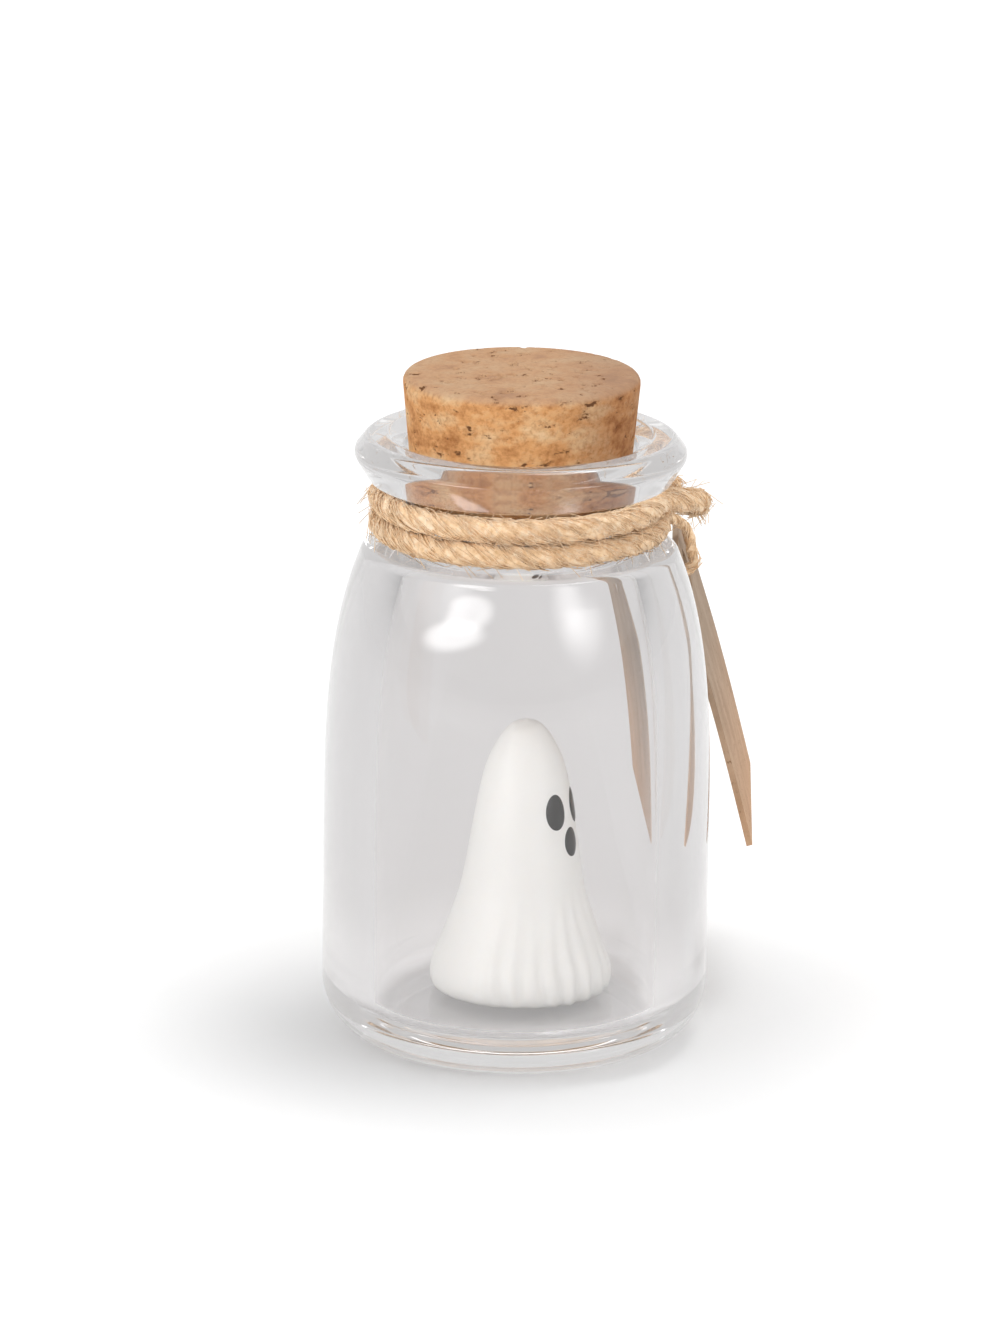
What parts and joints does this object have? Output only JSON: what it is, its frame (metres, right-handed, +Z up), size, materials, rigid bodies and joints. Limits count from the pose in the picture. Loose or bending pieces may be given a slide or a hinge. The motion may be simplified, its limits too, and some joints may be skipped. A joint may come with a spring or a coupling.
{
  "type": "corked miniature bottle",
  "caption": "Small corked glass bottle with a rolled lip and drawn-in shoulder, a loose glazed ghost figurine inside and a plain card tag tied on with jute twine.",
  "frame": {"origin": "centre of the bottle's flat base, on its axis", "axes": "+Z up along the bottle's axis; -Y towards the side seen in front; +X to the right, where the tag hangs"},
  "size_m": [0.0364, 0.0436, 0.0562],
  "materials": {
    "clear_glass": "clear, polished",
    "natural_cork": "natural cork, pitted",
    "white_glaze": "warm white gloss glaze",
    "dark_enamel": "near-black gloss enamel",
    "jute_twine": "twisted jute, hairy",
    "kraft_card": "uncoated kraft card"
  },
  "bodies": {
    "bottle": {"glass_bottle": "clear_glass", "twine_winding": "jute_twine", "twine_knot": "jute_twine", "twine_tail_upper": "jute_twine", "twine_tail_lower": "jute_twine"},
    "cork": {"cork_stopper": "natural_cork"},
    "ghost": {"ghost_figurine": "white_glaze", "ghost_left_eye": "dark_enamel", "ghost_right_eye": "dark_enamel", "ghost_mouth": "dark_enamel"},
    "tag": {"paper_tag": "kraft_card", "tag_tie": "jute_twine"}
  },
  "joints": [
    {"name": "cork_pull", "type": "slide", "parent": "bottle", "child": "cork", "axis": [0, 0, 1], "range_m": [0, 0.02]},
    {"name": "ghost_lift", "type": "slide", "parent": "bottle", "child": "ghost", "axis": [0, 0, 1], "range_m": [0, 0.017]},
    {"name": "tag_lift", "type": "hinge", "parent": "bottle", "child": "tag", "pos_m": [0.01162, 0.01158, 0.04143], "axis": [-0.0384, -0.9993, 0], "range_deg": [0, 75]}
  ]
}
